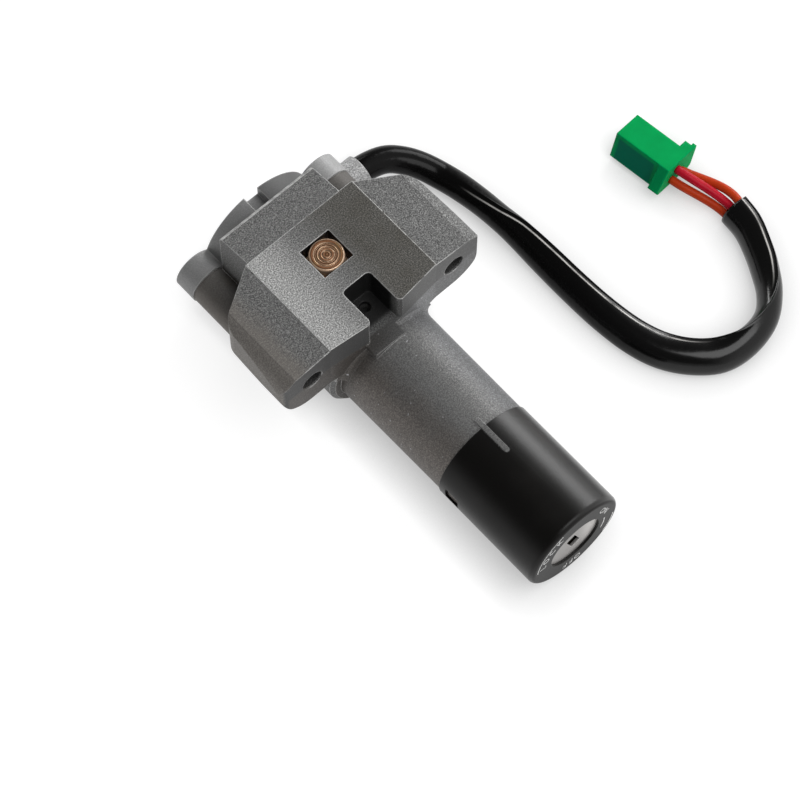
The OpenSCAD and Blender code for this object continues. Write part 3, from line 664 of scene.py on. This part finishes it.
class SWITCH_OT_casting(Operator):
    """Finish the cast housing and the cast rear cover: blasted grain, stains, worn edges, and painted shade
    and highlights
    """

    bl_idname = "switch.casting"
    bl_label = "Castings"

    # colours of the housing's patches, painted shade and painted light among them
    PALE_PAD, STAINED_PAD = (0.40, 0.40, 0.395), (0.070, 0.066, 0.057)
    EAR_END, EAR_FACE = (0.178, 0.164, 0.149), grey(0.066)
    WARM_BARREL, COOL_BARREL = (0.130, 0.108, 0.092), (0.24, 0.245, 0.26)
    DARK_CORNER, NICK, GREASE = (0.050, 0.044, 0.039), (0.5, 0.5, 0.52), grey(0.006)
    # low, high and soft of the hollows along x, y and z, in millimetres from the lock axis
    POCKET = ((-5.5, 4.5, 0.05), (3.0, 11.0, 2.5), (15.0, 27.1, 0.2))
    GUIDE = ((-5.9, 4.7, 0.05), (17.0, 27.6, 0.05), (0.0, 27.3, 0.1))
    # place of the bolt hole in each ear, and how far from its middle the grease reaches
    HOLE_X, HOLE_Z, HOLE_REACH = 25.75, 18.1, 3.5

    def execute(self, context):
        colours = context.scene.switch_colours
        wear("housing", finish=self.housing_finish(colours))
        wear("rear_cover", finish=self.cover_finish(colours))
        return {"FINISHED"}

    @staticmethod
    def grain(finish, place):
        """Fine blasted speckle and the slow cloud under it."""
        fine = finish.noise(place, 2.5, 1.5, 0.6)
        specks = finish.step(fine, 0.50, 0.66)
        pits = finish.step(fine, 0.48, 0.34)
        cloud = finish.noise(place, 0.10, 4.0, 0.6)
        return fine, specks, pits, cloud

    def housing_finish(self, colours):
        pale = tuple(colours.cast_pale)
        finish = Finish("cast_metal", Specular_IOR_Level=0.5)
        place = finish.millimetres()
        x, y, z = at = finish.axis_place(place)
        facing = finish.facing()
        fine, specks, pits, cloud = self.grain(finish, place)
        on_top = finish.step(facing[2], 0.6, 0.9)
        pad = on_top * finish.step(z, 26.9, 27.4) * finish.step(y, 34.6, 34.2)
        barrel = finish.step(y, 0.3, -0.3) * finish.step(z, 17.5, 16.5)
        front = finish.step(facing[1], -0.6, -0.9) * (1 - barrel)
        lug = finish.step(y, 28.8, 29.0) * finish.step(z, 9.0, 8.4)
        ear_end = finish.step(x + cloud * 6, -21.0, -28.0) * (1 - front)
        root_shadow = barrel * finish.step(y + cloud * 3, -6.0, -1.0) * finish.step(x, 4.0, -6.0)
        stain = finish.step(cloud, 0.46, 0.66)
        # how much of each patch shows: pad, ears and lug first, then the barrel
        patches = (
            (pad * finish.step(x + cloud * 6, 3.0, -14.0) * 0.80, self.PALE_PAD),
            (pad * finish.step(x, -3.0, 9.0) * (0.78 + stain * 0.2), self.STAINED_PAD),
            (ear_end * 0.85, self.EAR_END),
            (lug * (0.45 + stain * 0.4), tuple(colours.cast_brown)),
            (front * (0.45 + finish.step(x, 9.0, -9.0) * 0.5), self.EAR_FACE),
            (barrel * finish.step(x + z * 0.25 + cloud * 10, 6.0, -6.0) * 0.60, self.WARM_BARREL),
            # painted shade in the root where the barrel meets the left ear
            (root_shadow * 0.75, self.DARK_CORNER),
            # painted light on the barrel's right side
            (barrel * finish.step(x + cloud * 8, 8.0, 16.0) * 0.35, self.COOL_BARREL),
        )
        tone = tuple(colours.cast)
        for share, patch in patches:
            tone = finish.mix(share, tone, patch)
        rough = (1 - front * 0.75 - barrel * 0.42) * (1 - ear_end * 0.6) * (1 - lug * 0.75)
        tone = finish.scaled(tone, 1 + (specks * 0.95 - pits * 0.55) * rough)
        nicks = finish.step(finish.noise(place, 0.8, 2.0), 0.70, 0.78) * (barrel * 0.7 + 0.15)
        tone = finish.mix(nicks, tone, self.NICK)
        grease_and_shade = self.grease_and_shade(finish, at, on_top)
        # the hollows, holes, ledge and rib are painted dark: grease, and painted shade in the hollows
        tone = finish.mix(grease_and_shade * 0.95, tone, self.GREASE)
        # the band's rear chamfer is painted pale in places, on its upper face
        chamfer = finish.between(y, 45.3, 46.6, 0.1) * finish.step(z, 20, 23)
        patchy = finish.step(finish.noise(place, 0.45, 3.0), 0.42, 0.60)
        pale_chamfer = chamfer * finish.step(facing[2], 0.15, 0.45) * (0.3 + patchy * 0.7)
        tone = finish.mix(pale_chamfer * 0.7, tone, pale)
        # edges are painted pale, worn bright and in part a painted highlight, less on the barrel and the
        # ends of the ears
        round_edge = finish.rounded(0.45)
        edge_share = (1 - barrel * 0.8) * (1 - finish.step(abs(x), 27.0, 28.5) * 0.7) * (1 - grease_and_shade)
        worn_edge_highlight = finish.edges(round_edge) * finish.step(finish.noise(place, 0.5, 3.0), 0.25, 0.5) * edge_share
        finish.give("Base Color", finish.mix(worn_edge_highlight * 0.9, tone, pale))
        finish.give("Metallic", 0.30 + specks * 0.2)
        finish.give("Roughness", 0.52 + fine * 0.14 - specks * 0.12 - barrel * 0.06 - grease_and_shade * 0.12)
        finish.give("Normal", finish.bump(fine * rough + cloud * 0.3, 0.42, 0.28, round_edge))
        return finish

    def grease_and_shade(self, finish, at, on_top):
        """How dark with grease and painted shade the pocket, the bolt's guide, the bolt holes, the ledge
        and the rib are.
        """
        x, y, z = at
        off_hole = finish.radius(abs(x) - self.HOLE_X, z - self.HOLE_Z)
        hole = finish.step(off_hole, self.HOLE_REACH + 0.05, self.HOLE_REACH - 0.05)
        hole = hole * finish.between(y, 0.8, 24.1, 0.3)
        ledge = finish.between(y, -5.4, 3.0, 0.1) * finish.between(z, 15.9, 16.5, 0.1) * on_top
        rib = finish.between(x, -0.95, 0.95, 0.1) * finish.step(y, -39.6, -40.2)
        hollow = finish.inside(at, self.POCKET).larger(finish.inside(at, self.GUIDE))
        return hollow.larger(hole * 0.75).larger(rib * 0.2).larger(ledge * 0.35)

    def cover_finish(self, colours):
        pale = tuple(colours.cast_pale)
        finish = Finish("cast_cover", Specular_IOR_Level=0.5)
        place = finish.millimetres()
        x = finish.split(place)[0]
        on_top = finish.step(finish.facing()[2], 0.2, 0.6)
        fine, specks, pits, cloud = self.grain(finish, place)
        spout = finish.step(x, 27.5, 29.5)
        tone = finish.mix(on_top * finish.step(x, -1.0, 2.0), grey(0.27), grey(0.105))
        tone = finish.mix(finish.step(x, 16.0, 20.0), tone, grey(0.36))
        tone = finish.scaled(tone, 1 + (specks * 0.9 - pits * 0.5) * (0.2 + spout * 0.6))
        round_edge = finish.rounded(0.5)
        # the edges are painted pale: worn, and in part a painted highlight
        finish.give("Base Color", finish.mix(finish.edges(round_edge) * 0.5, tone, pale))
        finish.give("Metallic", 0.30 + specks * 0.2)
        finish.give("Roughness", 0.46 + fine * 0.14)
        finish.give("Normal", finish.bump(fine * (0.35 + spout) + cloud * 0.4, 0.40, 0.25, round_edge))
        return finish


class SWITCH_OT_cap(Operator):
    """Finish the black cap and print the words and arcs on its dial"""

    bl_idname = "switch.cap"
    bl_label = "Cap and dial"

    def execute(self, context):
        sizes, colours = context.scene.switch_sizes, context.scene.switch_colours
        wear("front_cap", finish=self.cap_finish(tuple(colours.cap)))
        legend = self.legend(sizes)
        wear(legend, finish=self.print_finish(tuple(colours.legend)))
        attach(legend, "switch_body")
        return {"FINISHED"}

    @staticmethod
    def cap_finish(base):
        finish = Finish("cap_plastic", Specular_IOR_Level=0.14, Coat_Roughness=0.38)
        place = finish.millimetres()
        cloud = finish.noise(place, 0.07, 3.0)
        grain = finish.noise(place, 3.2, 3.0, 0.6)
        haze = finish.step(cloud, 0.42, 0.7)
        round_edge = finish.rounded(0.3)
        painted_edge_highlight = finish.edges(round_edge)
        tone = finish.mix(haze * 0.5, base, toned(base, 1.7))
        # the edges are painted lighter grey: a painted highlight
        finish.give("Base Color", finish.mix(painted_edge_highlight * 0.35, tone, grey(0.10)))
        # the dial is matt, the flank has a moulded gloss that is rubbed off on the left and on top
        facing = finish.facing()
        dial = finish.step(facing[1], -0.6, -0.9)
        kept = finish.step(facing[0], -0.10, 0.40)
        finish.give("Coat Weight", (1 - dial) * (0.05 + kept * 0.60 + cloud * 0.12))
        finish.give("Roughness", 0.24 + cloud * 0.08 + grain * 0.06 + dial * 0.1)
        finish.give("Normal", finish.bump(grain, 0.10, 0.12, round_edge))
        return finish

    @staticmethod
    def print_finish(base):
        finish = Finish("dial_print", Roughness=0.6)
        place = finish.millimetres()
        rub = finish.step(finish.noise(place, 1.4, 3.0, 0.6), 0.52, 0.70)
        finish.give("Base Color", finish.mix(rub * 0.6, base, toned(base, 0.35)))
        return finish

    def legend(self, sizes):
        """Words set round the dial, their tops outward, and arcs that show how far the plug turns."""
        made = bmesh.new()
        # word: middle of its arc and distance between letters in degrees, radius in millimetres
        words = {"LOCK": (147, 17.0, 11.0), "ON": (31, 12.0, 11.0), "OFF": (-94, 11.0, 10.8)}
        for word, (middle, pitch, radius) in words.items():
            for i, letter in enumerate(word):
                angle = radians(middle - 90 - (i - (len(word) - 1) / 2) * pitch)
                self.letter(made, letter, angle, radius, sizes)
        # inner and outer radius in millimetres, first and last angle in degrees
        for arc in ((13.9, 14.25, -40, -4), (10.6, 10.95, -26, 2), (13.7, 14.0, 112, 178)):
            self.arc(made, *arc, sizes.print_t)
        mesh = bpy.data.meshes.new("dial_legend")
        made.to_mesh(mesh)
        made.free()
        return add_object("dial_legend", mesh)

    @staticmethod
    def letter(made, letter, angle, radius, sizes):
        curve = bpy.data.curves.new("letter", "FONT")
        size_over_height = 1.4
        curve.body, curve.size, curve.align_x = letter, sizes.letter_h * size_over_height, "CENTER"
        curve.extrude, curve.resolution_u = sizes.print_t, 3
        obj = add_object("letter", curve)
        mesh = bpy.data.meshes.new_from_object(obj.evaluated_get(bpy.context.evaluated_depsgraph_get()))
        bpy.data.objects.remove(obj)
        stand = Matrix.Rotation(pi / 2, 4, "X")
        mesh.transform(
            Matrix.Translation(from_axis(0, DIAL_Y, 0)) @ stand @ Matrix.Rotation(angle, 4, "Z")
            @ Matrix.Translation((0, radius * MM, 0))
        )
        made.from_mesh(mesh)
        bpy.data.meshes.remove(mesh)

    @staticmethod
    def arc(made, inner, outer, start, stop, thick):
        count = 24
        rows = []
        for lift in (0.0, thick / MM):
            for r in (inner, outer):
                rows.append([
                    made.verts.new(from_axis(r * cos(a), DIAL_Y - lift, r * sin(a)))
                    for a in (radians(lerp(start, stop, k / count)) for k in range(count + 1))
                ])
        low_in, low_out, top_in, top_out = rows
        for k in range(count):
            for a, b in ((top_in, top_out), (low_out, low_in), (low_in, top_in), (top_out, low_out)):
                made.faces.new((a[k], a[k + 1], b[k + 1], b[k]))
        for k in (0, count):
            made.faces.new((low_in[k], low_out[k], top_out[k], top_in[k]))


class SWITCH_OT_plug(Operator):
    """Finish the key plug: bright face, brass plug, tumblers and springs"""

    bl_idname = "switch.plug"
    bl_label = "Key plug"

    def execute(self, context):
        wear("plug_face", finish=self.face_finish(tuple(context.scene.switch_colours.face)))
        wear("lock_plug", finish=metal_finish("plug_brass", (0.46, 0.36, 0.16), 0.30, keyed=True))
        wear("tumblers", finish=metal_finish("tumbler_brass", (0.55, 0.42, 0.18), 0.26, keyed=True))
        wear("tumbler_springs", finish=metal_finish("spring_wire", (0.55, 0.56, 0.57), 0.22))
        return {"FINISHED"}

    @staticmethod
    def face_finish(base):
        finish = Finish("satin_steel", Specular_IOR_Level=0.5)
        place = finish.millimetres()
        grain = finish.noise(place, 2.4, 4.0, 0.7)
        cloud = finish.noise(place, 0.35, 3.0)
        round_edge = finish.rounded(0.25)
        # the right side of the face is painted brighter: painted light
        painted_lit_side = finish.step(finish.split(place)[0] + cloud * 2, 2.0, 7.0)
        tone = finish.mix(painted_lit_side, toned(base, 0.58), base)
        tone = finish.mix(cloud * 0.6, tone, toned(base, 0.5))
        # the edges are painted pale: a painted highlight
        finish.give("Base Color", finish.mix(finish.edges(round_edge) * 0.5, tone, (0.82, 0.81, 0.80)))
        finish.give("Metallic", 0.75 + cloud * 0.15)
        finish.give("Roughness", 0.36 + grain * 0.16)
        finish.give("Normal", finish.bump(grain, 0.16, 0.12, round_edge))
        return finish


class SWITCH_OT_bolt(Operator):
    """Finish the copper coloured lock bolt with the turned rings on its face"""

    bl_idname = "switch.bolt"
    bl_label = "Lock bolt"

    def execute(self, context):
        wear("lock_bolt", finish=self.turned_finish(tuple(context.scene.switch_colours.bolt)))
        return {"FINISHED"}

    @staticmethod
    def turned_finish(base):
        finish = Finish("bolt_copper", Specular_IOR_Level=0.5)
        place = finish.millimetres()
        x, y, _ = finish.split(place)
        radius = finish.radius(x - BOLT_AT.x, y - BOLT_AT.y)
        wobble = finish.noise(place, 0.5, 2.0)
        pitch = 0.8
        phase = (radius + wobble * 0.3) * (2 * pi / pitch)
        rings = finish.node("Math", {"operation": "SINE"}, {0: phase}) * 0.5 + 0.5
        cloud = finish.noise(place, 0.4, 3.0)
        tone = finish.mix(finish.step(rings, 0.2, 0.9), toned(base, 0.45), toned(base, 1.15))
        tone = finish.mix(finish.step(cloud, 0.5, 0.7) * 0.3, tone, (0.30, 0.25, 0.10))
        # the outer ring is painted bright: a painted highlight
        tone = finish.mix(finish.step(radius, 4.45, 4.65), tone, (0.86, 0.60, 0.42))
        round_edge = finish.rounded(0.3)
        # the edges are painted bright: a painted highlight
        finish.give("Base Color", finish.mix(finish.edges(round_edge) * 0.7, tone, (0.86, 0.62, 0.42)))
        finish.give("Metallic", 0.55 + cloud * 0.2)
        finish.give("Roughness", 0.30 + cloud * 0.14)
        finish.give("Normal", finish.bump(rings, 0.40, 0.12, round_edge))
        return finish


class SWITCH_OT_works(Operator):
    """Finish the drive, the contacts and the fasteners"""

    bl_idname = "switch.works"
    bl_label = "Drive and contacts"

    def execute(self, context):
        steel = metal_finish("steel", (0.42, 0.43, 0.44), 0.30)
        wear("drive_shaft", "crank_disc", "crank_pin", finish=steel)
        # the retaining pin is near black: grease, and painted shade in its hole
        wear("retaining_pin", finish=plastic_finish("greased_pin_painted_shade", grey(0.004), 0.60))
        bright = metal_finish("bright_steel", (0.62, 0.63, 0.64), 0.22)
        wear("cover_screws", "contact_springs", "detent_ball", "detent_spring", finish=bright)
        copper = metal_finish("contact_copper", (0.55, 0.26, 0.13), 0.28)
        wear("fixed_contacts", "bridge_contact", finish=copper)
        wear("contact_base", finish=plastic_finish("insulator", (0.10, 0.045, 0.022), 0.42))
        wear("contact_rotor", finish=plastic_finish("rotor_plastic", (0.70, 0.64, 0.50), 0.45))
        colours = context.scene.switch_colours
        wear("lead_wires", finish=SWITCH_OT_lead.wire_finish("inner_insulation", colours.red))
        return {"FINISHED"}


OPERATORS = (
    SWITCH_OT_stage, SWITCH_OT_lead, SWITCH_OT_connector, SWITCH_OT_casting, SWITCH_OT_cap,
    SWITCH_OT_plug, SWITCH_OT_bolt, SWITCH_OT_works,
)


class SWITCH_PT_panel(Panel):
    """Lists the steps that dress the switch"""

    bl_idname = "SWITCH_PT_panel"
    bl_label = "Ignition switch"
    bl_space_type = "VIEW_3D"
    bl_region_type = "UI"
    bl_category = "Switch"

    def draw(self, context):
        scene = context.scene
        for group in (scene.switch_sizes, scene.switch_colours, scene.switch_stage):
            box = self.layout.box()
            for name in group.__annotations__:
                box.prop(group, name)
        for operator in OPERATORS:
            self.layout.operator(operator.bl_idname)


CLASSES = (SwitchSizes, SwitchColours, StageSettings, *OPERATORS, SWITCH_PT_panel)


def register():
    for cls in CLASSES:
        bpy.utils.register_class(cls)
    bpy.types.Scene.switch_sizes = PointerProperty(type=SwitchSizes)
    bpy.types.Scene.switch_colours = PointerProperty(type=SwitchColours)
    bpy.types.Scene.switch_stage = PointerProperty(type=StageSettings)


def unregister():
    for name in ("switch_sizes", "switch_colours", "switch_stage"):
        delattr(bpy.types.Scene, name)
    for cls in reversed(CLASSES):
        bpy.utils.unregister_class(cls)


def main():
    register()
    bpy.ops.switch.stage()
    bpy.ops.switch.lead()
    bpy.ops.switch.connector()
    bpy.ops.switch.casting()
    bpy.ops.switch.cap()
    bpy.ops.switch.plug()
    bpy.ops.switch.bolt()
    bpy.ops.switch.works()


if __name__ == "__main__":
    main()
